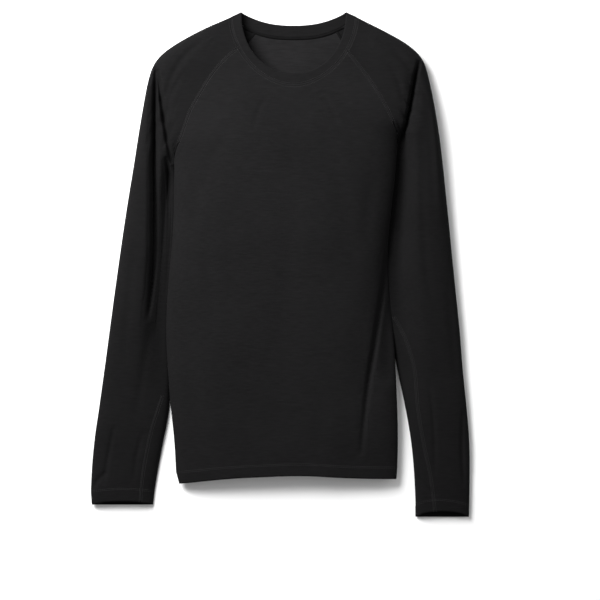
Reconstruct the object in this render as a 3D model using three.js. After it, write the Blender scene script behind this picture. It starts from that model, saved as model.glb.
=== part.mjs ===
import * as THREE from 'three';

// A men's long-sleeved crew-neck base layer top with raglan sleeves, lying on its back on a surface,
// softly filled and hollow. Millimetres: +X is towards the wearer's left, +Y towards the neck and
// +Z up. Each cut piece is one wall of cloth, modelled on its outer face and thickened inwards.

// Cloth
const WALL = 1.3;
const TURNED_WALL = 2.4;
const BAND_WALL = 2.6;
const HEM_DEPTH = 18;
const CUFF_DEPTH = 20;
const TURNING_STEP = 1;

// Each piece stops this far short of its seam line, and its inside a little further where walls bend
const SEAM_GAP = 0.18;
const SEAM_MITRE = 0.5;

// Body: how full the top of its section is, how far the side rounds in below its fold, how much
// cloth one unit of girth is once it has turned under the side, and how late a fold fades there
const CROWN_POWER = 2.8;
const SIDE_ROUND = 24;
const GIRTH_UNIT = 50;
const FOLD_FADE_POWER = 12;

// The body's section at each height: the side folds, the crown, and the height of the folds
const BODY = [
  { y: 396, left: -175, right: 215, crown: 20, fold: 12 },
  { y: 340, left: -200, right: 222, crown: 24, fold: 13 },
  { y: 300, left: -205, right: 225, crown: 27, fold: 14 },
  { y: 260, left: -203, right: 216, crown: 34, fold: 14 },
  { y: 225, left: -194, right: 199, crown: 40, fold: 14 },
  { y: 204, left: -186, right: 186, crown: 43, fold: 14 },
  { y: 165, left: -167, right: 184, crown: 45, fold: 14 },
  { y: 115, left: -166, right: 178, crown: 45, fold: 14 },
  { y: 64, left: -167, right: 172, crown: 44, fold: 14 },
  { y: 12, left: -171, right: 168, crown: 43, fold: 14 },
  { y: -56, left: -177, right: 173, crown: 42, fold: 14 },
  { y: -120, left: -178.5, right: 179, crown: 40, fold: 14 },
  { y: -168, left: -175, right: 181.5, crown: 38, fold: 14 },
  { y: -228, left: -171.5, right: 184, crown: 35, fold: 13 },
  { y: -273, left: -165, right: 185, crown: 32, fold: 12 },
  { y: -314, left: -165, right: 184, crown: 28, fold: 11 },
  { y: -344, left: -158, right: 182, crown: 25, fold: 10 },
];

// Cloth of the front that turns under each side before it reaches the side seam
const SIDE_SEAM = [
  { y: 204, turned: 8 },
  { y: 150, turned: 8 },
  { y: 90, turned: 24 },
  { y: 0, turned: 36 },
  { y: -344, turned: 36 },
];

// Lower edge of the front, which is shorter in the middle; the back ends there too
const HEM = [
  { x: -200, y: -344 },
  { x: -157, y: -343 },
  { x: -84, y: -335.5 },
  { x: -30, y: -332.5 },
  { x: 40, y: -330.3 },
  { x: 98, y: -334 },
  { x: 182, y: -335.7 },
  { x: 200, y: -336 },
];

// Neck: the seam and the band's free edge are part ellipses in front, and shallow bows at the back.
// Its peaks at the shoulders rise from the chest by a power, and sink within a share of the back
const NECK = {
  x: 21.3,
  peakHeight: 13,
  peakPower: 0.7,
  peakReach: 0.55,
  seam: { y: 386, halfWidth: 98, drop: 107.3, power: 1.85 },
  edge: { y: 393.5, halfWidth: 82, drop: 96.8, power: 2.1, fall: 3 },
  backSeam: { y: 353.2, power: 2.6 },
  backEdge: { y: 372.8, power: 2.4 },
};

// Raglan sleeves, in equal steps from the neck to the underarm: the front seam, the outer edge of
// the shoulder and sleeve, the back seam on the underside, and the height of the sleeve. The ends
// of both seams are moved onto the neck seam and the underarm
const SHOULDER = {
  right: {
    corner: 27.5,
    backCorner: -38,
    underarm: 150,
    rows: [
      { frontX: -65, frontY: 337, outerX: -77, outerY: 386.5, backX: -38, backY: 362.6, ridge: 26 },
      { frontX: -88, frontY: 317, outerX: -117, outerY: 369, backX: -58, backY: 338, ridge: 27 },
      { frontX: -108, frontY: 293, outerX: -158, outerY: 347, backX: -80, backY: 307, ridge: 28 },
      { frontX: -125, frontY: 265, outerX: -190, outerY: 324, backX: -100, backY: 278, ridge: 29 },
      { frontX: -139, frontY: 240, outerX: -204, outerY: 297, backX: -118, backY: 250, ridge: 30 },
      { frontX: -150, frontY: 210, outerX: -212, outerY: 258, backX: -134, backY: 220, ridge: 30 },
      { frontX: -161, frontY: 180, outerX: -220, outerY: 212, backX: -146, backY: 186, ridge: 29 },
      { frontX: -165, frontY: 150, outerX: -229.5, outerY: 150, backX: -165, backY: 150, ridge: 28 },
    ],
  },
  left: {
    corner: 31,
    backCorner: 88,
    underarm: 189,
    rows: [
      { frontX: 104.5, frontY: 332, outerX: 120, outerY: 386.5, backX: 88, backY: 365, ridge: 26 },
      { frontX: 119, frontY: 314, outerX: 158, outerY: 367, backX: 103, backY: 340, ridge: 27 },
      { frontX: 133, frontY: 296, outerX: 196, outerY: 346, backX: 118, backY: 314, ridge: 28 },
      { frontX: 147, frontY: 276, outerX: 223, outerY: 322, backX: 132, backY: 290, ridge: 29 },
      { frontX: 160, frontY: 255, outerX: 232, outerY: 293, backX: 146, backY: 268, ridge: 30 },
      { frontX: 171, frontY: 234, outerX: 239, outerY: 262, backX: 158, backY: 246, ridge: 30 },
      { frontX: 180, frontY: 213, outerX: 245, outerY: 228, backX: 168, backY: 222, ridge: 29 },
      { frontX: 183, frontY: 189, outerX: 251, outerY: 189, backX: 183, backY: 189, ridge: 28 },
    ],
  },
};

// The closed sleeves below the underarm: the inner edge, tucked under the body's side at first,
// the outer edge, and the height of the sleeve
const SLEEVE = {
  right: {
    frontCuffRise: 5.5,
    cuff: -376,
    rows: [
      { y: 150, inner: -165, outer: -229.5, ridge: 28 },
      { y: 132, inner: -163.5, outer: -232.7, ridge: 28 },
      { y: 64, inner: -163.5, outer: -243.5, ridge: 27 },
      { y: 12, inner: -167.5, outer: -251, ridge: 26 },
      { y: -56, inner: -173.5, outer: -260.5, ridge: 24 },
      { y: -120, inner: -175, outer: -269, ridge: 22 },
      { y: -168, inner: -171.5, outer: -275.5, ridge: 20 },
      { y: -228, inner: -172, outer: -284, ridge: 18 },
      { y: -273, inner: -181.3, outer: -290, ridge: 16 },
      { y: -314, inner: -189.7, outer: -294, ridge: 15 },
      { y: -345, inner: -195, outer: -296, ridge: 14 },
      { y: -376, inner: -198.3, outer: -294.2, ridge: 13 },
    ],
  },
  left: {
    frontCuffRise: 9,
    cuff: -395,
    rows: [
      { y: 189, inner: 183, outer: 251, ridge: 28 },
      { y: 171, inner: 180.5, outer: 253.3, ridge: 28 },
      { y: 115, inner: 174.5, outer: 259, ridge: 28 },
      { y: 64, inner: 168.5, outer: 264.3, ridge: 27 },
      { y: 12, inner: 164.5, outer: 269.4, ridge: 26 },
      { y: -56, inner: 169.5, outer: 276.4, ridge: 24 },
      { y: -120, inner: 175.5, outer: 283, ridge: 22 },
      { y: -168, inner: 183.6, outer: 286, ridge: 20 },
      { y: -228, inner: 196.2, outer: 292.8, ridge: 18 },
      { y: -273, inner: 204.4, outer: 296, ridge: 16 },
      { y: -345, inner: 210.4, outer: 296.4, ridge: 14 },
      { y: -395, inner: 211.5, outer: 295.2, ridge: 13 },
    ],
  },
};
const SLEEVE_OUTER_FULLNESS = 5;
const SLEEVE_INNER_FULLNESS = 6;
const SLEEVE_OUTER_ROUND = 12;
const SLEEVE_EDGE_HEIGHT = 0.42;
const SLEEVE_TIP = { height: 2.6, round: 4, seamRound: 12, sinksWithin: 18 };
const SLEEVE_LOWEST_TOP = 5.5;
const SLEEVE_FOLD_MARGIN = { inner: 0.12, outer: 0.08 };
const CUFF_BOW_LENGTH = 60;

// Beside the body the sleeve starts as a thin lip and a low shelf, as shares of its width; further
// down it comes out from under the side and its edge is round
const SLEEVE_LIP = 0.07;
const SLEEVE_SHELF = 0.45;
const SLEEVE_FREE = { from: -110, to: -270 };

// Share of the back seam over which it rises from the surface to the underarm, and share of the
// back's width that rounds up to each side
const BACK_SEAM_RISE = 0.2;
const BACK_ROUNDING = 0.12;

// The largest folds: soft troughs along a line, each row a place on the line and its depth there
const FOLDS = [
  // grooves down the right sleeve
  {
    width: 5,
    rows: [
      { y: 300, x: -195, depth: 0 },
      { y: 270, x: -196, depth: 8 },
      { y: 178, x: -197, depth: 11 },
      { y: 69, x: -196, depth: 10 },
      { y: -9, x: -198, depth: 6 },
      { y: -70, x: -209, depth: 0 },
    ],
  },
  {
    width: 4,
    rows: [
      { y: 300, x: -187, depth: 0 },
      { y: 270, x: -184, depth: 5 },
      { y: 210, x: -178, depth: 8 },
      { y: 165, x: -171, depth: 0 },
    ],
  },
  // groove across the left shoulder into the underarm, and a ridge along the sleeve's outer side
  {
    width: 5.5,
    rows: [
      { y: 308, x: 216, depth: 0 },
      { y: 282, x: 210, depth: 11 },
      { y: 240, x: 203, depth: 12 },
      { y: 205, x: 193, depth: 12 },
      { y: 165, x: 185, depth: 0 },
    ],
  },
  {
    width: 5,
    rows: [
      { y: 285, x: 234, depth: 0 },
      { y: 235, x: 240, depth: -2 },
      { y: 147, x: 246, depth: -2 },
      { y: 70, x: 249, depth: 0 },
    ],
  },
  // long slanting trough of the body's left side
  {
    width: 13,
    rows: [
      { y: 40, x: 170, depth: 0 },
      { y: -10, x: 163, depth: 9 },
      { y: -89, x: 149, depth: 9 },
      { y: -209, x: 131, depth: 5 },
      { y: -344, x: 117, depth: 3 },
    ],
  },
];

// How finely each piece is divided. The sleeve's top columns are closer at both ends by a share,
// and its first rows bend to the neck
const RAGLAN_ROWS = 11;
const NECK_ROWS = 4;
const BODY_ROWS = 13;
const SLEEVE_ROWS = 13;
const TURNED_ROWS = 3;
const FRONT_COLUMNS = 26;
const BACK_COLUMNS = 12;
const SLEEVE_COLUMNS = { top: 17, corner: 3, floor: 3, inner: 2 };
const SLEEVE_BUNCHING = 0.6;
const BAND = { around: 44, across: 2 };

const mix = (from, to, share) => from + (to - from) * share;
const clamp = (value, low, high) => Math.min(high, Math.max(low, value));
const ease = (share) => {
  const s = clamp(share, 0, 1);
  return s * s * (3 - 2 * s);
};
const radians = (degrees) => (degrees * Math.PI) / 180;
const power = (value, exponent) => Math.sign(value) * Math.abs(value) ** exponent;

// A smooth curve through one column of a table, read at a value of another column
function read(rows, column, at, by = 'y') {
  const last = rows.length - 1;
  const sense = Math.sign(rows[last][by] - rows[0][by]);
  const place = sense * clamp(sense * at, sense * rows[0][by], sense * rows[last][by]);
  let i = 0;
  while (i < last - 1 && sense * (rows[i + 1][by] - place) < 0) i += 1;
  const slope = (k) => {
    const before = rows[Math.max(k - 1, 0)];
    const after = rows[Math.min(k + 1, last)];
    return (after[column] - before[column]) / (after[by] - before[by]);
  };
  const span = rows[i + 1][by] - rows[i][by];
  const s = (place - rows[i][by]) / span;
  const from = rows[i][column];
  const to = rows[i + 1][column];
  const bend = s * (1 - s) * span * ((1 - s) * slope(i) - s * slope(i + 1));
  return from + (to - from) * s * s * (3 - 2 * s) + bend;
}

// The same for a table whose rows are equal steps from 0 to 1
function step(rows, column, share) {
  const numbered = rows.map((row, index) => ({ share: index / (rows.length - 1), value: row[column] }));
  return read(numbered, 'value', share, 'share');
}

// Depth of all the folds at a place
function foldDepth(x, y) {
  let depth = 0;
  for (const fold of FOLDS) {
    const top = fold.rows[0].y;
    const bottom = fold.rows[fold.rows.length - 1].y;
    if (y > top || y < bottom) continue;
    const away = (x - read(fold.rows, 'x', y)) / fold.width;
    depth += read(fold.rows, 'depth', y) * Math.exp(-away * away);
  }
  return depth;
}

// Girth runs from -1 at one side fold to 1 at the other over the top, and on past them underneath
function girthOf(x, y) {
  const left = read(BODY, 'left', y);
  const right = read(BODY, 'right', y);
  const across = clamp((2 * x - left - right) / (right - left), -1, 1);
  return Math.asin(across) / (Math.PI / 2);
}

function bodyPoint(girth, y) {
  const left = read(BODY, 'left', y);
  const right = read(BODY, 'right', y);
  const fold = read(BODY, 'fold', y);
  const side = Math.sign(girth);
  const middle = (left + right) / 2;
  const half = (right - left) / 2;
  if (Math.abs(girth) <= 1) {
    const across = Math.sin((Math.abs(girth) * Math.PI) / 2);
    const x = middle + side * half * across;
    const rise = Math.sqrt(1 - across ** CROWN_POWER);
    const fade = 1 - across ** FOLD_FADE_POWER;
    return new THREE.Vector3(x, y, mix(fold, read(BODY, 'crown', y), rise) - fade * foldDepth(x, y));
  }
  const turned = (Math.abs(girth) - 1) * GIRTH_UNIT;
  const quarter = (Math.PI / 2) * Math.sqrt((SIDE_ROUND ** 2 + fold ** 2) / 2);
  const turn = (clamp(turned / quarter, 0, 1) * Math.PI) / 2;
  const inwards = SIDE_ROUND * (1 - Math.cos(turn)) + Math.max(turned - quarter, 0);
  return new THREE.Vector3(middle + side * (half - inwards), y, fold * (1 - Math.sin(turn)));
}

// Neck loop: the front runs from 0 degrees at the right shoulder to 180 at the left, and the back
// from there round to 360
function neckSeam(angle) {
  const { seam, backSeam, x: centre } = NECK;
  const turn = radians(angle);
  if (angle <= 180) {
    const x = centre - seam.halfWidth * power(Math.cos(turn), 2 / seam.power);
    const y = seam.y - seam.drop * Math.abs(Math.sin(turn)) ** (2 / seam.power);
    const corner = x < centre ? SHOULDER.right.corner : SHOULDER.left.corner;
    const chest = bodyPoint(girthOf(x, y), y).z;
    const share = clamp(Math.sin(turn) / Math.sin(radians(corner)), 0, 1);
    return new THREE.Vector3(x, y, mix(NECK.peakHeight, chest, share ** NECK.peakPower));
  }
  const across = -Math.cos(turn);
  const y = backSeam.y + (seam.y - backSeam.y) * Math.abs(across) ** backSeam.power;
  const height = NECK.peakHeight * (1 - ease(Math.abs(Math.sin(turn)) / NECK.peakReach));
  return new THREE.Vector3(centre + seam.halfWidth * across, y, height);
}

function neckEdge(angle) {
  const { edge, backEdge, x: centre } = NECK;
  const turn = radians(angle);
  const seamHeight = neckSeam(angle).z;
  if (angle <= 180) {
    const x = centre - edge.halfWidth * power(Math.cos(turn), 2 / edge.power);
    const y = edge.y - edge.drop * Math.abs(Math.sin(turn)) ** (2 / edge.power);
    return new THREE.Vector3(x, y, seamHeight - edge.fall * Math.sin(turn));
  }
  const across = -Math.cos(turn);
  const y = backEdge.y + (edge.y - backEdge.y) * Math.abs(across) ** backEdge.power;
  return new THREE.Vector3(centre + edge.halfWidth * across, y, seamHeight);
}

// Angle on the back of the neck loop of a given x
function backAngle(x) {
  const across = clamp((x - NECK.x) / NECK.seam.halfWidth, -1, 1);
  return 360 - (Math.acos(-across) * 180) / Math.PI;
}

// Front raglan seam, shared by the front and a sleeve: on the body's surface, over the side fold
// and under it to the underarm
function frontSeam(side, share) {
  const shoulder = SHOULDER[side];
  const sense = side === 'right' ? -1 : 1;
  const start = neckSeam(side === 'right' ? shoulder.corner : 180 - shoulder.corner);
  const underarm = { girth: sense * (1 + SIDE_SEAM[0].turned / GIRTH_UNIT), y: shoulder.underarm };
  const rows = shoulder.rows.map((row) => ({ girth: girthOf(row.frontX, row.frontY), y: row.frontY }));
  rows[0] = { girth: girthOf(start.x, start.y), y: start.y };
  rows[rows.length - 1] = underarm;
  return { girth: step(rows, 'girth', share), y: step(rows, 'y', share) };
}

// Back raglan seam, shared by the back and a sleeve: flat on the surface until the underarm
function backSeam(side, share) {
  const { rows, backCorner } = SHOULDER[side];
  const start = neckSeam(backAngle(backCorner));
  const end = bodyPoint(frontSeam(side, 1).girth, SHOULDER[side].underarm);
  const table = rows.map((row) => ({ x: row.backX, y: row.backY }));
  table[0] = { x: start.x, y: start.y };
  table[table.length - 1] = { x: end.x, y: end.y };
  const height = end.z * ease((share - 1 + BACK_SEAM_RISE) / BACK_SEAM_RISE);
  return new THREE.Vector3(step(table, 'x', share), step(table, 'y', share), height);
}

// Distances of rows from the start of a stretch, ending in the rows of a turned edge
function rowsToTurnedEdge(length, count, depth) {
  const before = length - depth - TURNING_STEP;
  const plain = Array.from({ length: count }, (_, i) => ((i + 1) / count) * before);
  return [...plain, length - depth, length - depth / 2, length];
}

const hemHeight = (x) => read(HEM, 'y', x, 'x');

// The front: a patch of the body's surface between the neck, the raglan seams, the sides and the hem
function frontGrid() {
  const rows = [];
  const cornerAngles = [SHOULDER.right.corner, 180 - SHOULDER.left.corner];
  const sides = ['right', 'left'];
  const neckLine = (u) => {
    const point = neckSeam(mix(cornerAngles[0], cornerAngles[1], u));
    return { girth: girthOf(point.x, point.y), y: point.y };
  };
  const columns = Array.from({ length: FRONT_COLUMNS + 1 }, (_, j) => j / FRONT_COLUMNS);
  for (let i = 0; i <= RAGLAN_ROWS; i += 1) {
    const share = i / RAGLAN_ROWS;
    const [start, end] = sides.map((side) => frontSeam(side, share));
    const sag = 1 - share;
    rows.push(columns.map((u) => {
      const neck = neckLine(u);
      const girth = mix(start.girth, end.girth, u)
        + sag * (neck.girth - mix(neckLine(0).girth, neckLine(1).girth, u));
      const y = mix(start.y, end.y, u) + sag * (neck.y - mix(neckLine(0).y, neckLine(1).y, u));
      return bodyPoint(girth, y);
    }));
  }
  const start = frontSeam('right', 1);
  const end = frontSeam('left', 1);
  const length = start.y - HEM[0].y;
  for (const distance of rowsToTurnedEdge(length, BODY_ROWS, HEM_DEPTH)) {
    const share = distance / length;
    const turned = 1 + read(SIDE_SEAM, 'turned', start.y - distance) / GIRTH_UNIT;
    rows.push(columns.map((u) => {
      const girth = mix(-turned, turned, u);
      const bottom = hemHeight(bodyPoint(girth, HEM[0].y).x);
      return bodyPoint(girth, mix(mix(start.y, end.y, u), bottom, share));
    }));
  }
  return rows;
}

// The back: the same between the back seams, flat on the surface but for its rounded sides
function backGrid() {
  const rows = [];
  const columns = Array.from({ length: BACK_COLUMNS + 1 }, (_, j) => j / BACK_COLUMNS);
  const angles = [backAngle(SHOULDER.right.backCorner), backAngle(SHOULDER.left.backCorner)];
  const neckLine = (u) => neckSeam(mix(angles[0], angles[1], u));
  const lay = (point, start, end, u) => {
    const share = u < 0.5 ? u : 1 - u;
    point.z = (u < 0.5 ? start.z : end.z) * (1 - ease(share / BACK_ROUNDING));
    return point;
  };
  for (let i = 0; i <= RAGLAN_ROWS; i += 1) {
    const share = i / RAGLAN_ROWS;
    const start = backSeam('right', share);
    const end = backSeam('left', share);
    const sag = (1 - share) ** 2;
    rows.push(columns.map((u) => {
      const bow = neckLine(u).sub(neckLine(0).lerp(neckLine(1), u)).multiplyScalar(sag);
      return lay(start.clone().lerp(end, u).add(bow), start, end, u);
    }));
  }
  const { right, left } = SHOULDER;
  const length = right.underarm - HEM[0].y;
  for (const distance of rowsToTurnedEdge(length, BODY_ROWS, HEM_DEPTH)) {
    const share = distance / length;
    const turned = 1 + read(SIDE_SEAM, 'turned', right.underarm - distance) / GIRTH_UNIT;
    const onSide = (girth, underarm) => {
      const bottom = hemHeight(bodyPoint(girth, HEM[0].y).x);
      return bodyPoint(girth, mix(underarm, bottom, share));
    };
    const start = onSide(-turned, right.underarm);
    const end = onSide(turned, left.underarm);
    rows.push(columns.map((u) => {
      const point = start.clone().lerp(end, u);
      point.y = mix(mix(right.underarm, left.underarm, u), hemHeight(point.x), share);
      return lay(point, start, end, u);
    }));
  }
  return rows;
}

// One ring of a sleeve: over the top from its inner end to the outer edge, round it, and back
// along the surface to where it ends or closes
function sleeveRing({ inner, outer, end, ridge, closed, free }) {
  const fold = ridge * SLEEVE_EDGE_HEIGHT;
  const ring = [];
  for (let j = 0; j <= SLEEVE_COLUMNS.top; j += 1) {
    const even = j / SLEEVE_COLUMNS.top;
    const t = mix(even, 0.5 - 0.5 * Math.cos(Math.PI * even), SLEEVE_BUNCHING);
    const x = mix(inner.x, outer.x, t);
    const y = mix(inner.y, outer.y, t);
    const pillow = mix(fold, ridge, Math.sqrt(1 - t ** SLEEVE_OUTER_FULLNESS));
    const lipRise = Math.sqrt(1 - (1 - clamp(t / SLEEVE_LIP, 0, 1)) ** 2);
    const lip = mix(inner.z, SLEEVE_LOWEST_TOP, lipRise);
    const tucked = lip + (pillow - SLEEVE_LOWEST_TOP) * ease((t - SLEEVE_LIP) / SLEEVE_SHELF);
    const loose = mix(inner.z, pillow, Math.sqrt(1 - (1 - t) ** SLEEVE_INNER_FULLNESS));
    const attached = mix(inner.z, pillow, ease(t / SLEEVE_SHELF));
    const z = closed ? mix(tucked, loose, free) : attached;
    const fade = ease(t / SLEEVE_FOLD_MARGIN.inner) * ease((1 - t) / SLEEVE_FOLD_MARGIN.outer);
    const sunk = z - fade * foldDepth(x, y);
    const lowest = Math.min(z, SLEEVE_LOWEST_TOP);
    ring.push(new THREE.Vector3(x, y, Math.max(sunk, lowest)));
  }
  const reach = Math.hypot(end.x - outer.x, end.y - outer.y);
  const under = (distance, z) => {
    const share = distance / reach;
    return new THREE.Vector3(mix(outer.x, end.x, share), mix(outer.y, end.y, share), z);
  };
  for (let j = 1; j <= SLEEVE_COLUMNS.corner; j += 1) {
    const turn = ((j / SLEEVE_COLUMNS.corner) * Math.PI) / 2;
    ring.push(under(SLEEVE_OUTER_ROUND * (1 - Math.cos(turn)), fold * (1 - Math.sin(turn))));
  }
  const innerRound = closed ? SLEEVE_TIP.round : SLEEVE_TIP.seamRound;
  for (let j = 1; j <= SLEEVE_COLUMNS.floor; j += 1) {
    const share = j / SLEEVE_COLUMNS.floor;
    ring.push(under(mix(SLEEVE_OUTER_ROUND, reach - innerRound, share), 0));
  }
  for (let j = 1; j <= SLEEVE_COLUMNS.inner; j += 1) {
    const turn = ((j / SLEEVE_COLUMNS.inner) * Math.PI) / 2;
    ring.push(under(reach - innerRound * (1 - Math.sin(turn)), end.z * (1 - Math.cos(turn))));
  }
  return ring;
}

// A raglan sleeve: rings that stay open along both raglan seams, then closed ones to the cuff
function sleeveGrid(side) {
  const shoulder = SHOULDER[side];
  const tube = SLEEVE[side];
  const rings = [];
  for (let i = 0; i <= RAGLAN_ROWS; i += 1) {
    const share = i / RAGLAN_ROWS;
    const seam = frontSeam(side, share);
    const inner = bodyPoint(seam.girth, seam.y);
    const [outerX, outerY, ridge] = ['outerX', 'outerY', 'ridge'].map((column) => (
      step(shoulder.rows, column, share)));
    const outer = new THREE.Vector2(outerX, outerY);
    const end = i === RAGLAN_ROWS ? inner : backSeam(side, share);
    rings.push(sleeveRing({ inner, outer, end, ridge, closed: false, free: 0 }));
  }
  followNeck(rings, side);
  const length = shoulder.underarm - tube.cuff;
  for (const distance of rowsToTurnedEdge(length, SLEEVE_ROWS, CUFF_DEPTH)) {
    const y = shoulder.underarm - distance;
    const sunk = ease(distance / SLEEVE_TIP.sinksWithin);
    const height = mix(rings[RAGLAN_ROWS][0].z, SLEEVE_TIP.height, sunk);
    const tip = new THREE.Vector3(read(tube.rows, 'inner', y), y, height);
    const outer = new THREE.Vector2(read(tube.rows, 'outer', y), y);
    const free = ease((SLEEVE_FREE.from - y) / (SLEEVE_FREE.from - SLEEVE_FREE.to));
    const ridge = read(tube.rows, 'ridge', y);
    const ring = sleeveRing({ inner: tip, outer, end: tip, ridge, closed: true, free });
    const nearCuff = ease(1 - (y - tube.cuff) / CUFF_BOW_LENGTH);
    for (let j = 0; j <= SLEEVE_COLUMNS.top; j += 1) {
      ring[j].y += tube.frontCuffRise * nearCuff * Math.sin((Math.PI * j) / SLEEVE_COLUMNS.top);
    }
    rings.push(ring);
  }
  return rings;
}

// The sleeve's top rings bend so that the first one lies along the neckband's seam
function followNeck(rings, side) {
  const { corner, backCorner } = SHOULDER[side];
  const last = rings[0].length - 1;
  const toPeak = side === 'right' ? [corner, 0] : [180 - corner, 180];
  const fromPeak = side === 'right' ? [360, backAngle(backCorner)] : [180, backAngle(backCorner)];
  const shifts = rings[0].map((point, j) => {
    const top = j <= SLEEVE_COLUMNS.top;
    const past = j - SLEEVE_COLUMNS.top;
    const share = top ? j / SLEEVE_COLUMNS.top : past / (last - SLEEVE_COLUMNS.top);
    const [from, to] = top ? toPeak : fromPeak;
    return neckSeam(mix(from, to, share)).sub(point);
  });
  for (let i = 0; i < NECK_ROWS; i += 1) {
    const hold = 1 - ease(i / NECK_ROWS);
    rings[i].forEach((point, j) => point.addScaledVector(shifts[j], hold));
  }
}

// The neckband: a ring between the neck seam and its free edge
function bandGrid() {
  const rows = [];
  for (let i = 0; i <= BAND.across; i += 1) {
    const share = i / BAND.across;
    rows.push(Array.from({ length: BAND.around + 1 }, (_, j) => {
      const angle = ((j % BAND.around) / BAND.around) * 360;
      return neckSeam(angle).lerp(neckEdge(angle), share);
    }));
  }
  return rows;
}

// Thickens a grid of points on a piece's outer face into one closed wall. A row whose ends meet
// is joined into a ring. Edges on a seam are pulled back, the inside further than the outside.
function clothWall(grid, { facing, joined, wall, seams }) {
  const lastRow = grid.length - 1;
  const lastColumn = grid[0].length - 1;
  const column = (i, j) => (joined(i) && j === lastColumn ? 0 : j);
  const at = (i, j) => grid[i][column(i, j)];
  const normals = grid.map((row, i) => row.map((_, j) => {
    const ring = joined(i);
    const before = j > 0 ? j - 1 : ring ? lastColumn - 1 : 0;
    const after = j < lastColumn ? j + 1 : ring ? 1 : lastColumn;
    const across = at(i, after).clone().sub(at(i, before));
    const down = at(Math.min(i + 1, lastRow), j).clone().sub(at(Math.max(i - 1, 0), j));
    return down.cross(across).normalize().multiplyScalar(facing);
  }));
  const away = (i, j, i2, j2) => at(i, j).clone().sub(at(i2, j2)).normalize();
  const outside = grid.map((row) => row.map((point) => point.clone()));
  const inside = grid.map((row, i) => row.map((point, j) => (
    point.clone().addScaledVector(normals[i][j], -wall(i, j)))));
  const pull = (i, j, i2, j2) => {
    const direction = away(i, j, i2, j2);
    outside[i][j].addScaledVector(direction, -SEAM_GAP);
    inside[i][j].addScaledVector(direction, -SEAM_GAP - SEAM_MITRE);
  };
  for (let j = 0; j <= lastColumn; j += 1) {
    if (seams.top) pull(0, j, 1, j);
  }
  for (let i = 0; i <= lastRow; i += 1) {
    if (seams.sides && !joined(i)) {
      pull(i, 0, i, 1);
      pull(i, lastColumn, i, lastColumn - 1);
    }
  }
  const width = lastColumn + 1;
  const outer = (i, j) => i * width + column(i, j);
  const inner = (i, j) => grid.length * width + i * width + column(i, j);
  const triangles = [];
  const quad = (a, b, c, d) => triangles.push(a, b, c, a, c, d);
  for (let i = 0; i < lastRow; i += 1) {
    for (let j = 0; j < lastColumn; j += 1) {
      quad(outer(i, j), outer(i + 1, j), outer(i + 1, j + 1), outer(i, j + 1));
      quad(inner(i, j), inner(i, j + 1), inner(i + 1, j + 1), inner(i + 1, j));
    }
    if (!(joined(i) && joined(i + 1))) {
      quad(outer(i, 0), inner(i, 0), inner(i + 1, 0), outer(i + 1, 0));
      const [end, next] = [lastColumn, i + 1];
      quad(outer(i, end), outer(next, end), inner(next, end), inner(i, end));
    }
  }
  for (let j = 0; j < lastColumn; j += 1) {
    quad(outer(0, j), outer(0, j + 1), inner(0, j + 1), inner(0, j));
    quad(outer(lastRow, j), inner(lastRow, j), inner(lastRow, j + 1), outer(lastRow, j + 1));
  }
  if (facing < 0) triangles.reverse();
  return closedGeometry([...outside, ...inside].flat(), triangles);
}

// Keeps only the points that triangles use
function closedGeometry(points, triangles) {
  const used = [...new Set(triangles)].sort((a, b) => a - b);
  const place = new Map(used.map((index, order) => [index, order]));
  const geometry = new THREE.BufferGeometry().setFromPoints(used.map((index) => points[index]));
  geometry.setIndex(triangles.map((index) => place.get(index)));
  geometry.computeVertexNormals();
  return geometry;
}

function jersey(name, geometry, colour) {
  const material = new THREE.MeshStandardMaterial({ color: colour, roughness: 0.93, metalness: 0 });
  const mesh = new THREE.Mesh(geometry, material);
  mesh.name = name;
  return mesh;
}

// Wall of a piece whose last rows are a turned edge
const turnedEdge = (grid) => (i) => (i >= grid.length - TURNED_ROWS ? TURNED_WALL : WALL);

function panel(name, grid, facing) {
  const geometry = clothWall(grid, {
    facing,
    joined: () => false,
    wall: turnedEdge(grid),
    seams: { top: true, sides: true },
  });
  return jersey(name, geometry, 0x232326);
}

function sleeve(name, side) {
  const grid = sleeveGrid(side);
  const geometry = clothWall(grid, {
    facing: side === 'left' ? 1 : -1,
    joined: (i) => i >= RAGLAN_ROWS,
    wall: turnedEdge(grid),
    seams: { top: true, sides: true },
  });
  return jersey(name, geometry, 0x222225);
}

function neckband() {
  const grid = bandGrid();
  const geometry = clothWall(grid, {
    facing: -1,
    joined: () => true,
    wall: () => BAND_WALL,
    seams: { top: true, sides: false },
  });
  return jersey('neckband', geometry, 0x1f1f22);
}

const top = new THREE.Group();
top.name = 'base_layer_top';
top.add(
  panel('front', frontGrid(), 1),
  panel('back', backGrid(), -1),
  sleeve('sleeve_right', 'right'),
  sleeve('sleeve_left', 'left'),
  neckband(),
);

// The origin is the middle of the underside
const middle = new THREE.Box3().setFromObject(top).getCenter(new THREE.Vector3());
top.position.set(-middle.x, -middle.y, 0);

export default top;
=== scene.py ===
# %% [markdown]
# # A base layer top lying on its back
# A long-sleeved crew-neck top in near-black fine jersey, with raglan sleeves and a double neckband. The
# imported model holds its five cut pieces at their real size. This lesson turns them into soft cloth,
# adds the smaller creases and the sewing, and lights the top from above as a product picture does.

# %% Load the frame
import math

import bmesh
import bpy
import numpy as np
from mathutils import Matrix, Vector
from mathutils.bvhtree import BVHTree


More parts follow.
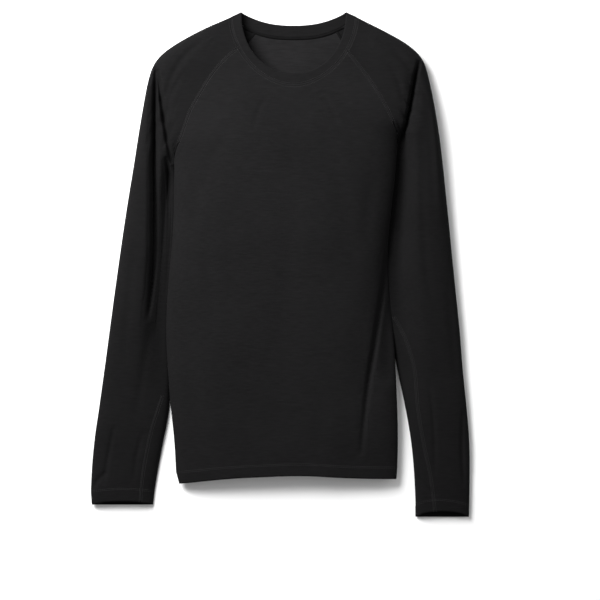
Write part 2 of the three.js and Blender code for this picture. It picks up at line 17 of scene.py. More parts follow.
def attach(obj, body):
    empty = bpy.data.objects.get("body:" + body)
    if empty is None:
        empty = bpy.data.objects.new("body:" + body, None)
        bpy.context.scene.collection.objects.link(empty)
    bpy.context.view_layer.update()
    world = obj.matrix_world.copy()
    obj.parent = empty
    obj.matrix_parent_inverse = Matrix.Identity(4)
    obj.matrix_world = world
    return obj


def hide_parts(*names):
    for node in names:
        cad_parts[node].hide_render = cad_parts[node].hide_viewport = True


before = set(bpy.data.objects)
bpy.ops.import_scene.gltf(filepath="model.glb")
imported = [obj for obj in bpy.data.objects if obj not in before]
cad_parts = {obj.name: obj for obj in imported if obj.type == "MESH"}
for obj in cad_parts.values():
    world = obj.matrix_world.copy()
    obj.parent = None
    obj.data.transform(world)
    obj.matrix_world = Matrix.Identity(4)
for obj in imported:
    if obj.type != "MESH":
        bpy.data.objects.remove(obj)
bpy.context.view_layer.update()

MM = 0.001
print("cut pieces:", sorted(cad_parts))

# %% [markdown]
# ## The picture's frame
# A product picture of a flat garment is taken from straight above. A wide lens close by would make the
# middle swell, so this camera stands far off with a long lens, and the top keeps its outline. The
# middle of the picture lies a little to the right of the garment's middle and below it.

# %% Camera
PICTURE_WIDTH = 936 * MM
PICTURE_MIDDLE = (30.8 * MM, -55.4 * MM)
CAMERA_HEIGHT = 6.0
SENSOR = 36.0
CLOTH_HEIGHT = 15 * MM

camera_data = bpy.data.cameras.new("camera")
camera_data.sensor_width = SENSOR
camera_data.lens = SENSOR * (CAMERA_HEIGHT - CLOTH_HEIGHT) / PICTURE_WIDTH
camera = bpy.data.objects.new("camera", camera_data)
camera.location = (*PICTURE_MIDDLE, CAMERA_HEIGHT)
bpy.context.scene.collection.objects.link(camera)
bpy.context.scene.camera = camera
print("lens", round(camera_data.lens), "mm")

# %% [markdown]
# ## Shader maths
# A finish could be wired node by node, but it is easier to read as a sum than as a web of wires. One
# small class wraps a socket, so that plus, minus and times add their own Math nodes, and one method
# makes every other node.

# %% Sockets that add and multiply
class Value:
    def __init__(self, finish, socket):
        self.finish, self.socket = finish, socket

    def maths(self, operation, other, swapped=False):
        values = (other, self) if swapped else (self, other)
        return self.finish.node("ShaderNodeMath", {"operation": operation}, dict(enumerate(values)))

    def __add__(self, other):
        return self.maths("ADD", other)

    def __radd__(self, other):
        return self.maths("ADD", other, swapped=True)

    def __sub__(self, other):
        return self.maths("SUBTRACT", other)

    def __rsub__(self, other):
        return self.maths("SUBTRACT", other, swapped=True)

    def __mul__(self, other):
        return self.maths("MULTIPLY", other)

    def __rmul__(self, other):
        return self.maths("MULTIPLY", other, swapped=True)


class Finish:
    def __init__(self, name):
        self.material = bpy.data.materials.new(name)
        self.material.use_nodes = True
        self.tree = self.material.node_tree
        self.shader = self.tree.nodes["Principled BSDF"]

    def node(self, kind, settings=None, inputs=None, output=0):
        made = self.tree.nodes.new(kind)
        for key, value in (settings or {}).items():
            setattr(made, key, value)
        for key, value in (inputs or {}).items():
            if isinstance(value, Value):
                self.tree.links.new(value.socket, made.inputs[key])
            else:
                made.inputs[key].default_value = value
        return Value(self, made.outputs[output])

    def feed(self, name, value):
        if isinstance(value, Value):
            self.tree.links.new(value.socket, self.shader.inputs[name])
        else:
            self.shader.inputs[name].default_value = value


print("shader helpers ready")

# %% [markdown]
# ## Jersey
# The cloth is a fine matte knit in near-black. Seen from a step away it has faint streaks along its
# courses, where the yarn is a little thicker, and a soft bloom of fibre at grazing angles. Single loops
# are too small to model on a whole garment, so streaks, patches and flecks are three noises of
# different size. They tint the yarn, and two of them lift it as well.

# %% The jersey finish
# Repeats for each metre along X, Y and Z, how much each noise tints the yarn, and how much it lifts it
STREAK_SIZE, STREAK_TINT, STREAK_LIFT = (70, 700, 300), 0.8, 0.6
PATCH_SIZE, PATCH_TINT = (9, 12, 12), 0.35
FLECK_SIZE, FLECK_TINT, FLECK_LIFT = (700, 1100, 900), 0.35, 0.4
DARK_YARN, LIGHT_YARN = 0.35, 1.5
SMOOTHEST, STREAK_ROUGHNESS = 0.88, 0.12
BUMP_STRENGTH, BUMP_HEIGHT = 0.35, 0.4 * MM
SOFTNESS = {"Specular IOR Level": 0.06, "Sheen Weight": 0.066, "Sheen Roughness": 0.24}


def jersey(name, shade, turn=0.0):
    finish = Finish(name)
    place = finish.node("ShaderNodeTexCoord", output="Object")

    def noise(size, detail):
        mapped = finish.node(
            "ShaderNodeMapping", {}, {"Vector": place, "Rotation": (0, 0, turn), "Scale": size}
        )
        return finish.node("ShaderNodeTexNoise", {}, {"Vector": mapped, "Scale": 1.0, "Detail": detail})

    streak, patch, fleck = noise(STREAK_SIZE, 3.0), noise(PATCH_SIZE, 2.0), noise(FLECK_SIZE, 2.0)
    lightness = 1.0 + (streak - 0.5) * STREAK_TINT + (patch - 0.5) * PATCH_TINT
    lightness = lightness + (fleck - 0.5) * FLECK_TINT
    dark, light = ([share * c for c in shade] + [1] for share in (DARK_YARN, LIGHT_YARN))
    tint = finish.node(
        "ShaderNodeMix", {"data_type": "RGBA"}, {0: lightness - 0.5, 6: dark, 7: light}, output=2
    )
    finish.feed("Base Color", tint)
    finish.feed("Roughness", SMOOTHEST + STREAK_ROUGHNESS * streak)
    height = streak * STREAK_LIFT + fleck * FLECK_LIFT
    bump = {"Strength": BUMP_STRENGTH, "Distance": BUMP_HEIGHT, "Height": height}
    finish.feed("Normal", finish.node("ShaderNodeBump", {}, bump))
    for socket, value in SOFTNESS.items():
        finish.feed(socket, value)
    return finish.material


# %% [markdown]
# ## One yarn in several shades
# All the pieces are cut from one cloth. The inside of the back is lighter, partly as the wrong side of a
# knit often is and partly as painted light where it faces the light. The sleeves are darker with painted
# shade, and the band is a little darker. Each could have a colour of its own, but one colour times a share
# keeps them one cloth when it changes. The streaks of a sleeve follow the sleeve, so its noises are turned.

# %% Shades of the cloth
BLACK = (0.0070, 0.0068, 0.0071)
SHARES = {
    # The back's share is lighter partly for the wrong side of the knit and partly as painted light; the
    # sleeves' share is painted shade
    "body": 1.0, "back": 1.5, "sleeve": 0.8, "band": 0.9,
    "seam": 1.25, "inside_seam": 0.55, "thread": 1.5,
}
SLEEVE_TURNS = {"right": math.radians(8), "left": math.radians(-5)}


def yarn(part):
    return tuple(SHARES[part] * c for c in BLACK)


jersey_body = jersey("jersey_body", yarn("body"))
# The back: the knit's lighter wrong side, with painted light on its inside
jersey_back_knit_side_and_painted_light = jersey("jersey_back_knit_side_and_painted_light", yarn("back"))
# The sleeves' darker share of the yarn is painted shade
jersey_sleeve_right_painted_shade = jersey("jersey_sleeve_right_painted_shade", yarn("sleeve"), SLEEVE_TURNS["right"])
jersey_sleeve_left_painted_shade = jersey("jersey_sleeve_left_painted_shade", yarn("sleeve"), SLEEVE_TURNS["left"])
jersey_band = jersey("jersey_band", yarn("band"))
print("yarn:", {part: round(yarn(part)[0], 5) for part in SHARES})

# %% [markdown]
# ## Folds
# Cloth that lies relaxed keeps long shallow troughs, and narrow ones where a sleeve meets the body. A cloth
# simulation would make folds of its own, and these have to lie where the picture has them. So each one is
# a listed line of places, with how wide and how deep it is.

# %% Crease table
CREASES = [
    # piece, width, depth, line of places from the neck end, all in millimetres
    ("front", 9, 1.0, [(-112, 90), (-111, 0), (-110, -110)]),
    ("front", 8, 0.9, [(-77, 92), (-76, 0), (-75, -120)]),
    ("front", 12, 1.2, [(60, 230), (86, 160), (104, 60), (112, -40)]),
    ("front", 14, 1.1, [(-60, 240), (-96, 180), (-128, 110), (-140, 20)]),
    ("front", 15, 1.4, [(-150, -60), (-138, -150), (-128, -240), (-124, -320)]),
    ("front", 16, 1.0, [(20, 250), (18, 120), (8, -60), (2, -240)]),
    ("front", 10, 1.0, [(70, -190), (62, -250), (60, -322)]),
    ("front", 10, 0.9, [(-50, -210), (-46, -270), (-44, -325)]),
    ("front", 11, 1.6, [(150, 150), (138, 95), (133, 30)]),
    ("front", 9, 1.2, [(-146, 168), (-132, 128), (-126, 70)]),
    ("front", 4.5, 7.0, [(168, 20), (162, -30), (155, -76), (146, -134), (136, -200), (126, -300)]),
    ("front", 15, 12, [(184, 70), (178, 10), (173, -60), (170, -120), (168, -190)]),
    ("front", 5, 0.8, [(60, 268), (78, 246), (90, 218)]),
    ("front", 5, 0.7, [(-20, 262), (-34, 236), (-42, 205)]),
    ("sleeve_right", 4.2, 9.0, [(-194, 308), (-195, 250), (-196, 170), (-196, 80), (-197, 0), (-206, -90)]),
    ("sleeve_right", 2.4, 11.0, [(-194, 310), (-195, 250), (-196, 170), (-196, 80), (-197, 0), (-205, -80)]),
    ("sleeve_right", 3.0, 11.0, [(-191, 304), (-186, 262), (-179, 214), (-169, 156)]),
    ("sleeve_right", 3.0, 9.0, [(-178, 168), (-173, 130), (-172, 60), (-174, 0), (-179, -60)]),
    ("sleeve_right", 13, 5.0, [(-190, 225), (-184, 160), (-183, 60), (-185, -20), (-190, -120)]),
    ("sleeve_right", 6, 2.0, [(-120, 350), (-150, 322), (-172, 282), (-182, 240)]),
    ("sleeve_right", 5, 1.4, [(-150, 300), (-170, 262), (-184, 210)]),
    ("sleeve_right", 7, 1.2, [(-226, 40), (-236, -60), (-244, -160)]),
    ("sleeve_right", 7, 1.4, [(-200, -90), (-214, -170), (-226, -250)]),
    ("sleeve_right", 4, 1.8, [(-258, -250), (-268, -300), (-276, -346)]),
    ("sleeve_right", 4, 1.8, [(-293, -352), (-283, -336), (-270, -324)]),
    ("sleeve_right", 4, 1.2, [(-214, -262), (-224, -300), (-228, -340)]),
    ("sleeve_left", 3.2, 16.0, [(217, 318), (210, 284), (203, 245), (195, 208), (186, 160)]),
    ("sleeve_left", 18, 8.0, [(196, 205), (186, 150), (178, 90), (172, 30), (172, -40), (180, -110)]),
    ("sleeve_left", 7, -1.6, [(233, 290), (238, 250), (243, 182), (247, 130), (249, 60)]),
    ("sleeve_left", 6, 2.0, [(150, 352), (182, 330), (204, 300)]),
    ("sleeve_left", 5, 1.4, [(168, 312), (184, 285), (192, 250)]),
    ("sleeve_left", 7, 1.2, [(222, 215), (222, 120), (226, 20), (236, -70)]),
    ("sleeve_left", 7, 1.4, [(262, -10), (268, -100), (276, -190)]),
    ("sleeve_left", 4, 1.8, [(286, -225), (284, -290), (288, -350)]),
    ("sleeve_left", 4, 1.4, [(232, -180), (240, -250), (242, -330)]),
    ("sleeve_left", 4, 1.4, [(216, -330), (230, -350), (246, -362)]),
]
print(len(CREASES), "creases")

# %% [markdown]
# ## A smooth line through a few places
# Folds and seams run in gentle curves. A Bezier curve object would need handles, and this needs only
# places: a curve of third degree between each two of them, which also knows the next place on either
# side.

# %% Lines
# Where the zero of the places lies in the model, in millimetres
ORIGIN = np.array([-0.39, 0.75])


def line_through(places, count):
    """Points of a smooth curve through a few places in millimetres."""
    known = np.array([places[0], *places, places[-1]], float) + ORIGIN
    spans = len(places) - 1
    made = []
    for t in np.linspace(0, spans, count):
        i = min(int(t), spans - 1)
        s = t - i
        a, b, c, d = known[i:i + 4]
        bend = (2 * a - 5 * b + 4 * c - d) * s**2
        twist = (3 * b - 3 * c + d - a) * s**3
        made.append(0.5 * (2 * b + (c - a) * s + bend + twist))
    return np.array(made)


trial = line_through(CREASES[0][3], 3)
print("first crease, middle:", trial[1].round(1))

# %% [markdown]
# ## Pressing folds into the cloth
# Only the upper layer of the top sinks into a fold, because the lower one lies flat on the surface. A
# sculpting brush could do it, but its strokes can't be read or corrected. Here each point goes down by
# the fold's depth, less with its distance from the line, and every fold dies away at both ends.

# %% Sinking the upper layer
# The upper layer starts at this height, and counts in full so much higher
UPPER_FROM, UPPER_RAMP = 5 * MM, 5 * MM
CREASE_POINTS = 120
# How far a crease is felt, in its widths
CREASE_SPAN = 3
FADE_POWER = 0.7
# The upper layer never sinks onto the lower one, and stays a little thick there
LOWEST = 2.6 * MM
SPREAD = 0.12


def upper_layer(points):
    return np.clip((points[:, 2] - UPPER_FROM) / UPPER_RAMP, 0, 1)


def sink_creases(points, piece):
    """Lowers the upper layer of a piece along its creases. Points are in metres."""
    upper = upper_layer(points)
    before = points[:, 2].copy()
    for name, width, depth, places in CREASES:
        if name != piece:
            continue
        line = line_through(places, CREASE_POINTS) * MM
        margin = CREASE_SPAN * width * MM
        low, high = line.min(axis=0) - margin, line.max(axis=0) + margin
        close = np.nonzero(((points[:, :2] > low) & (points[:, :2] < high)).all(axis=1))[0]
        apart = np.linalg.norm(points[close, None, :2] - line[None], axis=2)
        along = np.sin(np.pi * apart.argmin(axis=1) / (CREASE_POINTS - 1)) ** FADE_POWER
        across = np.exp(-((apart.min(axis=1) / (width * MM)) ** 2))
        points[close, 2] -= depth * MM * along * across * upper[close]
    lowest = np.minimum(before, LOWEST + SPREAD * before)
    points[:, 2] = np.where(upper > 0, np.maximum(points[:, 2], lowest), points[:, 2])
    return points


print("upper layer from", round(UPPER_FROM / MM), "mm")

# %% [markdown]
# ## Finer cloth beside narrow folds
# A narrow fold needs a fine mesh, or its walls turn out jagged. One more level of subdivision would
# quarter every face of the garment for it. Instead only the longer edges beside a narrow fold are
# divided, and the bed in which the fold lies is evened out, so that no facet of the solid shows there.

# %% Dividing and smoothing a bed
# The widest crease that counts as narrow, in millimetres, and how far its bed reaches, in its widths
SHARP_WIDTH = 6
CREASE_REACH = 2.8
SHARP_POINTS = 60
CREASE_STEP = 1.2 * MM
DIVIDING_PASSES = 2
BED_PASSES = 60
BED_SHARE = 0.5
RIM_SLOPE = 0.12


def near_sharp_crease(points, piece):
    """Which points of the upper layer lie close to a narrow crease."""
    near = np.zeros(len(points), bool)
    for name, width, _, places in CREASES:
        if name != piece or width > SHARP_WIDTH:
            continue
        for x, y in line_through(places, SHARP_POINTS) * MM:
            near |= np.hypot(points[:, 0] - x, points[:, 1] - y) < CREASE_REACH * width * MM
    return near & (upper_layer(points) > 0)


def places_of(mesh):
    points = np.empty(len(mesh.vertices) * 3)
    mesh.vertices.foreach_get("co", points)
    return points.reshape(-1, 3)


def refine(mesh, name):
    """Divides the edges near a narrow crease until they are short, and evens out the bed it lies in."""
    for _ in range(DIVIDING_PASSES):
        near = near_sharp_crease(places_of(mesh), name)
        if not near.any():
            return
        shell = bmesh.new()
        shell.from_mesh(mesh)
        longer = [
            edge
            for edge in shell.edges
            if near[edge.verts[0].index] and near[edge.verts[1].index] and edge.calc_length() > CREASE_STEP
        ]
        bmesh.ops.subdivide_edges(shell, edges=longer, cuts=1, use_grid_fill=True)
        shell.to_mesh(mesh)
        shell.free()
    near = near_sharp_crease(places_of(mesh), name)
    shell = bmesh.new()
    shell.from_mesh(mesh)
    bed = [vert for vert in shell.verts if near[vert.index] and abs(vert.normal.z) > RIM_SLOPE]
    for _ in range(BED_PASSES):
        bmesh.ops.smooth_vert(shell, verts=bed, factor=BED_SHARE, use_axis_z=True)
    shell.to_mesh(mesh)
    shell.free()


print("edges beside a narrow crease are divided above", CREASE_STEP / MM, "mm")

# %% [markdown]
# ## Soft cloth from a solid
# The real panels are cut flat and sewn. New ones could be drawn here, but each panel starts from its
# own solid in the model, so that it stays exactly where the pattern puts it. The copy is welded, its
# triangles are paired into squares, and a subdivision surface rounds it. Its rims stay crisp, and the
# creases are pressed in last.

# %% One soft piece
WELD = 0.002 * MM
RIM_ANGLE = math.radians(62)
RIM_CRISPNESS = 0.9
ROUNDING_LEVELS = 2


def rounded_copy(name):
    """A rounded copy of a node's solid, with the object that shows it."""
    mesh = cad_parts[name].data.copy()
    mesh.name = "cloth_" + name
    shell = bmesh.new()
    shell.from_mesh(mesh)
    bmesh.ops.remove_doubles(shell, verts=shell.verts, dist=WELD)
    bmesh.ops.join_triangles(
        shell, faces=shell.faces, angle_face_threshold=math.pi, angle_shape_threshold=math.pi
    )
    crease = shell.edges.layers.float.new("crease_edge")
    for edge in shell.edges:
        if edge.calc_face_angle(0) > RIM_ANGLE:
            edge[crease] = RIM_CRISPNESS
    shell.to_mesh(mesh)
    shell.free()
    piece = bpy.data.objects.new("cloth_" + name, mesh)
    bpy.context.scene.collection.objects.link(piece)
    smooth = piece.modifiers.new("round", "SUBSURF")
    smooth.levels = smooth.render_levels = ROUNDING_LEVELS
    bpy.context.view_layer.update()
    rounded = bpy.data.meshes.new_from_object(piece.evaluated_get(bpy.context.evaluated_depsgraph_get()))
    piece.modifiers.clear()
    piece.data = rounded
    return piece, rounded


def soft_piece(name, finish, slot, flat, area):
    piece, rounded = rounded_copy(name)
    refine(rounded, name)
    points = sink_creases(places_of(rounded), name)
    rounded.vertices.foreach_set("co", points.ravel())
    rounded.polygons.foreach_set("use_smooth", [True] * len(rounded.polygons))
    rounded.materials.clear()
    rounded.materials.append(finish)
    rounded.update()
    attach(piece, "root")
    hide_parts(name)
    print(piece.name, len(rounded.polygons), "faces")
    return piece


# %% [markdown]
# ## The five cut pieces
# A front, a back, two sleeves and a neckband, as a maker cuts them. Each row also says how large the
# piece lies when it is spread out, and its area.

# %% Front, back, sleeves and neckband
PANELS = [
    # node, finish, slot, flat size in metres, area in square metres
    ("front", jersey_body, "jersey", (0.47, 0.70), 0.258),
    ("back", jersey_back_knit_side_and_painted_light, "jersey", (0.36, 0.72), 0.200),
    ("sleeve_right", jersey_sleeve_right_painted_shade, "jersey", (0.25, 0.80), 0.148),
    ("sleeve_left", jersey_sleeve_left_painted_shade, "jersey", (0.25, 0.80), 0.153),
    ("neckband", jersey_band, "rib", (0.50, 0.018), 0.0085),
]
cloth = [soft_piece(*panel) for panel in PANELS]

# %% [markdown]
# ## Reading the cloth
# Sewing follows the cloth. Tapes and stitches could be pulled onto it by a Shrinkwrap modifier, but
# near a fold that finds the wrong layer. A seam here is a line seen from above, from inside the top, or
# from below, and a ray from there finds how high the finished cloth lies. Points along a line are
# evenly spaced, and so are stitches.

# %% Rays and even steps
# Levels in metres from which a ray looks for the cloth
ABOVE, INSIDE, BELOW = 0.1, 0.007, -0.1


def surface_of(pieces):
    joined = bmesh.new()
    for piece in pieces:
        joined.from_mesh(piece.data)
    tree = BVHTree.FromBMesh(joined)
    joined.free()
    return tree


SURFACE = surface_of(cloth)


def height_at(place, level):
    """Height of the cloth at a place in metres. A ray goes down from above or inside, and up from below."""
    hit = SURFACE.ray_cast(Vector((*place, level)), Vector((0, 0, -1 if level > 0 else 1)))[0]
    return None if hit is None else hit.z


def even_steps(line, spacing):
    """Points along a line of places in millimetres, at even distances, in metres."""
    line = np.array(line) * MM
    run = np.concatenate([[0], np.cumsum(np.linalg.norm(np.diff(line, axis=0), axis=1))])
    at = np.linspace(0, run[-1], max(int(run[-1] / (spacing * MM)), 2))
    return np.stack([np.interp(at, run, line[:, 0]), np.interp(at, run, line[:, 1])], axis=1)


def beside(steps):
    """Unit vectors across a line of places."""
    along = np.gradient(steps, axis=0)
    along /= np.linalg.norm(along, axis=1, keepdims=True)
    return np.stack([-along[:, 1], along[:, 0]], axis=1)


print("chest height in mm:", round(height_at((0, 0), ABOVE) / MM, 1))

# %% [markdown]
# ## Seam lines
# Raglan seams run from the neck to the underarm, side seams lie on the underside, and the sleeves' own
# seams lie on the upper side, because this top was laid down with its sleeves a little turned. The
# edges of the solids could be searched for them, but places are easier to read and to correct. The neck
# seam is a rounded arc in front and a bow at the back, so two formulas give it.

# %% Seam tables, in millimetres
FRONT_RAGLAN = {
    "right": [(-65, 337), (-88, 317), (-108, 293), (-125, 265), (-139, 240), (-150, 210), (-158, 188)],
    "left": [(104.5, 332), (119, 314), (133, 296), (147, 276), (160, 255), (171, 234), (177, 220)],
}
BACK_RAGLAN = {
    "right": [(-38, 362.6), (-58, 338), (-80, 307), (-100, 278), (-118, 250), (-134, 220), (-143, 194)],
    "left": [(88, 365), (103, 340), (118, 314), (132, 290), (146, 268), (158, 246), (166, 228)],
}
SLEEVE_SEAM = {
    "right": [(-184, -206), (-190, -226), (-200.5, -259), (-210.6, -307), (-216, -345), (-218, -371)],
    "left": [
        (178, -83), (184, -93), (197, -120), (210, -165), (215, -225), (225, -284), (235, -332), (242, -386)
    ],
}
SIDE_SEAM = {
    "right": [
        (-139, 60), (-142, 0), (-148, -56), (-149.5, -120),
        (-146, -168), (-142.5, -228), (-136, -273), (-130, -330),
    ],
    "left": [
        (145, 60), (141, 0), (144, -56), (150, -120), (152.5, -168), (155, -228), (156, -273), (154, -330)
    ],
}
HEM_EDGE = [(-157, -343), (-84, -335.5), (-30, -332.5), (40, -330.3), (98, -334), (181, -335.7)]
CUFF_STITCHES = {
    "right": [(-295, -356.5), (-262, -352.5), (-230, -352.5), (-199, -355.5)],
    "left": [(296, -375.5), (270, -369), (240, -367), (212, -374)],
}
seam_tables = (FRONT_RAGLAN, BACK_RAGLAN, SLEEVE_SEAM, SIDE_SEAM)
print("places on the seams:", sum(len(line) for table in seam_tables for line in table.values()))

# %% Neck seam
NECK_MIDDLE, NECK_HALF = 21.3, 98
NECK_TOP, NECK_DROP, NECK_ROUNDNESS = 386, 107.3, 1.85
BACK_NECK_LOW, BACK_NECK_RISE, BACK_NECK_POWER = 353.2, 32.8, 2.6
LINE_POINTS, BACK_LINE_POINTS = 60, 40


def neck_front(start, end, grow=0.0):
    """Places on the front of the neck seam between two angles, moved outwards by grow."""
    line = []
    for degrees in np.linspace(start, end, LINE_POINTS):
        turn = math.radians(degrees)
        across = math.copysign(abs(math.cos(turn)) ** (2 / NECK_ROUNDNESS), math.cos(turn))
        drop = math.sin(turn) ** (2 / NECK_ROUNDNESS)
        line.append((NECK_MIDDLE - (NECK_HALF + grow) * across, NECK_TOP - (NECK_DROP + grow) * drop))
    return np.array(line) + ORIGIN


def neck_back(reach, grow=0.0):
    """Places on the back of the neck seam, as far as a share of its half width."""
    across = np.linspace(-reach, reach, BACK_LINE_POINTS)
    rise = BACK_NECK_LOW - grow + BACK_NECK_RISE * abs(across) ** BACK_NECK_POWER
    return np.stack([NECK_MIDDLE + NECK_HALF * across, rise], axis=1) + ORIGIN


print("neck seam's lowest place:", neck_front(90, 90)[0].round(1))

# %% [markdown]
# ## Seam tapes
# Where two panels meet, the real seam is flat and slightly raised. A bump line could stand for it, but
# it would only shade the cloth and add nothing to the mesh. So a seam is a low strip laid over the gap
# between two pieces.
# It starts as a grid that is placed along the line. Its two edges take their height from the cloth on
# either side, its middle is raised, and Solidify gives it a thickness.

# %% Strips over the seams
# Lengths in millimetres. The reach is in half widths of the tape.
TAPE_STEP, TAPE_SINK, TAPE_THICKNESS = 3, 0.12, 0.25
TAPE_ROWS = 4
TAPE_REACH = 1.3
TAPE_EDGE_POWER = 4


def tape(shell, line, level, width, height):
    steps = even_steps(line, TAPE_STEP)
    across = beside(steps) * width * MM / 2
    sense = 1 if level > 0 else -1
    heights = []
    for place, side in zip(steps, across):
        pair = [height_at(place + sign * TAPE_REACH * side, level) for sign in (-1, 1)]
        known = [value for value in pair if value is not None]
        heights.append([known[0], known[-1]] if known else [None, None])
    kept = [i for i, pair in enumerate(heights) if pair[0] is not None]
    made = bmesh.ops.create_grid(shell, x_segments=len(kept) - 1, y_segments=TAPE_ROWS, size=1)["verts"]
    for vert in made:
        i = kept[round((vert.co.x + 1) / 2 * (len(kept) - 1))]
        v = vert.co.y
        low, high = heights[i]
        place = steps[i] + across[i] * v
        lift = height * (1 - v**TAPE_EDGE_POWER) - TAPE_SINK
        vert.co = (*place, low + (high - low) * (v + 1) / 2 + sense * lift * MM)
    faces = list(dict.fromkeys(face for vert in made for face in vert.link_faces))
    bmesh.ops.recalc_face_normals(shell, faces=faces)
    if faces[0].normal.z * sense < 0:
        bmesh.ops.reverse_faces(shell, faces=faces)
    bmesh.ops.solidify(shell, geom=faces, thickness=TAPE_THICKNESS * MM)


def show(name, mesh, finish):
    mesh.polygons.foreach_set("use_smooth", [True] * len(mesh.polygons))
    mesh.materials.clear()
    mesh.materials.append(finish)
    made = bpy.data.objects.new(name, mesh)
    bpy.context.scene.collection.objects.link(made)
    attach(made, "root")
    print(name, len(mesh.polygons), "faces")


print("tape rows:", TAPE_ROWS)

# %% [markdown]
# ## Seams outside and inside
# Outside, tapes follow the raglans, the front of the neck, the sleeves' seams and the side seams.
# Through the open neck the inside of the back shows its own seams, which are broader and darker. They
# could be cut out of one mesh with the outer ones, but as a piece of their own they take a darker
# finish. The rays of the inner raglans start between the two layers, so that they find the back's
# inside and never the front.

# %% All the tapes
SEAM_WIDTH = 2.6
NECK_ARC = (2, 178)
INSIDE_PLACES = 4


def seams_of(name, table, level, height):
    return {
        f"{name}_{side}": (line_through(table[side], LINE_POINTS), level, SEAM_WIDTH, height)
        for side in ("right", "left")
    }


# Name: line of places, level to look from, width and height in millimetres
TAPES = {
    **seams_of("raglan_front", FRONT_RAGLAN, ABOVE, 0.45),
    "neck_front": (neck_front(*NECK_ARC), ABOVE, 3.2, 0.2),
    **seams_of("sleeve", SLEEVE_SEAM, ABOVE, 0.4),
    **seams_of("raglan_back", BACK_RAGLAN, BELOW, 0.15),
    **seams_of("side", SIDE_SEAM, BELOW, 0.15),
}
INSIDE_TAPES = {"neck_inside": (neck_back(0.82, 1.2), ABOVE, 4.2, 0.7)}
for side, places in BACK_RAGLAN.items():
    inside_line = line_through(places[:INSIDE_PLACES], BACK_LINE_POINTS)
    INSIDE_TAPES["raglan_inside_" + side] = (inside_line, INSIDE, 4.6, 0.7)

SEWING = [
    ("seams", TAPES, jersey("seam_outside", yarn("seam"))),
    ("seams_inside", INSIDE_TAPES, jersey("seam_inside", yarn("inside_seam"))),
]
for name, tapes, finish in SEWING:
    shell = bmesh.new()
    for line, level, width, height in tapes.values():
        tape(shell, line, level, width, height)
    mesh = bpy.data.meshes.new(name)
    shell.to_mesh(mesh)
    shell.free()
    show(name, mesh, finish)

# %% [markdown]
# ## Stitches
# Twin needles leave two even rows: beside the neck seam, along the raglans, sleeves and sides, and
# above the hem and cuffs. A pattern of dashes would do from afar, but stitches made as beads are part of
# the mesh. Every stitch is one small flattened bead. An Array modifier repeats the bead, which is
# quick, and then each copy is turned along its row and moved onto the cloth.

# %% One bead and a row of places
# In millimetres
STITCH = {"length": 2.1, "width": 0.42, "height": 0.3, "pitch": 2.9}
STITCH_LIFT = 0.06
STITCH_SIDES, STITCH_RINGS = 6, 4


def row_of_stitches(line, level, offset):
    """Where each stitch of a row lies, and which way it points."""
    steps = even_steps(line, STITCH["pitch"])
    found = []
    for place, side in zip(steps, beside(steps)):
        place = place + side * offset * MM
        height = height_at(place, level)
        if height is not None:
            found.append((*place, height + math.copysign(STITCH_LIFT * MM, level), side[1], -side[0]))
    return found


def one_stitch():
    shell = bmesh.new()
    size = [STITCH[key] * MM / 2 for key in ("length", "width", "height")]
    bmesh.ops.create_uvsphere(
        shell, u_segments=STITCH_SIDES, v_segments=STITCH_RINGS, radius=1, matrix=Matrix.Diagonal((*size, 1))
    )
    mesh = bpy.data.meshes.new("stitch")
    shell.to_mesh(mesh)
    shell.free()
    return mesh


def repeated(stitch, count):
    """A mesh with many copies of the stitch in one place."""
    maker = bpy.data.objects.new("maker", stitch)
    bpy.context.scene.collection.objects.link(maker)
    copies = maker.modifiers.new("copies", "ARRAY")
    copies.use_relative_offset = False
    copies.count = count
    bpy.context.view_layer.update()
    mesh = bpy.data.meshes.new_from_object(maker.evaluated_get(bpy.context.evaluated_depsgraph_get()))
    bpy.data.objects.remove(maker)
    return mesh


def sewn(name, rows, finish):
    """Stitches along all the rows, as one piece."""
    found = np.array([stitch for row in rows for stitch in row_of_stitches(*row)])
    stitch = one_stitch()
    mesh = repeated(stitch, len(found))
    length, width, height = places_of(stitch).T
    x, y, z, along_x, along_y = (column[:, None] for column in found.T)
    placed = np.stack(
        [x + length * along_x - width * along_y, y + length * along_y + width * along_x, z + height], axis=2
    )
    mesh.vertices.foreach_set("co", placed.ravel())
    mesh.update()
    print(len(found), "stitches")
    show(name, mesh, finish)


# %% All the rows
# Lengths in millimetres, and the arc in degrees
TWIN = 2.2
HEM_DEPTH = 17
NECK_STITCH_OFFSETS = (3.4, -2.4)
NECK_STITCH_ARC = (3, 177)
THREAD_ROUGHNESS = 0.7

twin_seams = [seam for name, seam in TAPES.items() if name != "neck_front"]
hem_row = line_through([(x, y + HEM_DEPTH) for x, y in HEM_EDGE], LINE_POINTS)
cuff_rows = [line_through(places, BACK_LINE_POINTS) for places in CUFF_STITCHES.values()]
ROWS = [(line, level, offset) for line, level, _, _ in twin_seams for offset in (-TWIN, TWIN)]
ROWS += [(neck_front(*NECK_STITCH_ARC, grow), ABOVE, 0) for grow in NECK_STITCH_OFFSETS]
for line in (hem_row, *cuff_rows):
    ROWS += [(line, level, offset) for level in (ABOVE, BELOW) for offset in (0, TWIN)]

thread = Finish("thread")
thread.feed("Base Color", (*yarn("thread"), 1))
thread.feed("Roughness", THREAD_ROUGHNESS)
sewn("stitches", ROWS, thread.material)

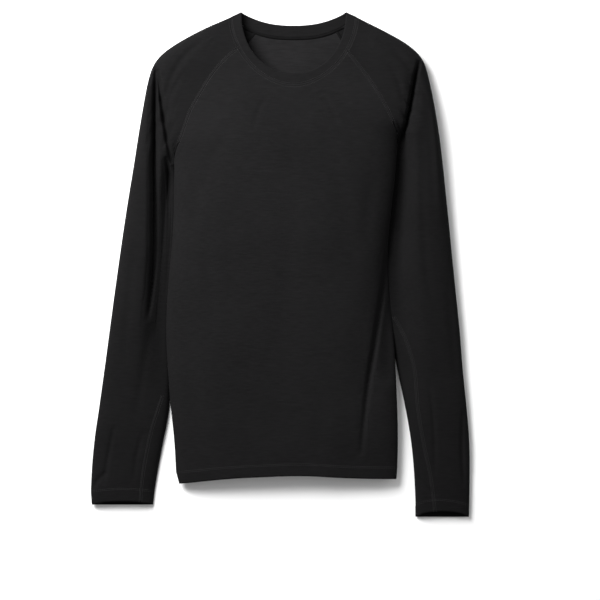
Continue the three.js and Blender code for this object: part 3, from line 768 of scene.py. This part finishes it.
# %% [markdown]
# ## Floor
# The top lies on white paper. A plane that ends in the picture would show an edge, so it is far larger
# than the frame. It lies a hair below the cloth, so that the underside's seams don't touch it, and it
# is stage, not part of the garment.

# %% Floor
FLOOR_SIZE = 6.0
FLOOR_DROP = 0.3 * MM
PAPER_WHITE, PAPER_ROUGHNESS = 0.9, 0.9

floor_mesh = bpy.data.meshes.new("floor")
ground = bmesh.new()
bmesh.ops.create_grid(ground, x_segments=1, y_segments=1, size=FLOOR_SIZE / 2)
ground.to_mesh(floor_mesh)
ground.free()
floor = bpy.data.objects.new("floor", floor_mesh)
floor_mesh.transform(Matrix.Translation((0, 0, -FLOOR_DROP)))
bpy.context.scene.collection.objects.link(floor)
paper = Finish("white_paper")
paper.feed("Base Color", (PAPER_WHITE, PAPER_WHITE, PAPER_WHITE, 1))
paper.feed("Roughness", PAPER_ROUGHNESS)
paper.feed("Specular IOR Level", 0.0)
floor_mesh.materials.append(paper.material)
print("floor", FLOOR_SIZE, "m")

# %% [markdown]
# ## Light
# Soft light comes from the upper left. The white surroundings lift the floor, and one large lamp brings
# it to white, so that the cloth's own shadow is the only grey on it. A sun would be simpler, but its
# shadows are hard. A weak lamp low on the right catches the sleeve's outer edge and keeps the shadows
# light.

# %% Lamps and surroundings
# Name, place in metres, width in metres and power in watts
LAMPS = [("key", (-1.0, 1.1, 1.1), 1.2, 98), ("fill", (1.5, 0.3, 0.8), 1.0, 5)]
ROOM_STRENGTH = 0.36

for name, place, size, power in LAMPS:
    lamp_data = bpy.data.lights.new(name, "AREA")
    lamp_data.size = size
    lamp_data.energy = power
    lamp = bpy.data.objects.new(name, lamp_data)
    lamp.location = place
    lamp.rotation_euler = (-Vector(place)).to_track_quat("-Z", "Y").to_euler()
    bpy.context.scene.collection.objects.link(lamp)

world = bpy.data.worlds.new("white_room")
world.use_nodes = True
background = world.node_tree.nodes["Background"]
background.inputs["Color"].default_value = (1, 1, 1, 1)
background.inputs["Strength"].default_value = ROOM_STRENGTH
bpy.context.scene.world = world
bpy.context.scene.view_settings.view_transform = "Standard"
print("lamps:", [lamp[0] for lamp in LAMPS])
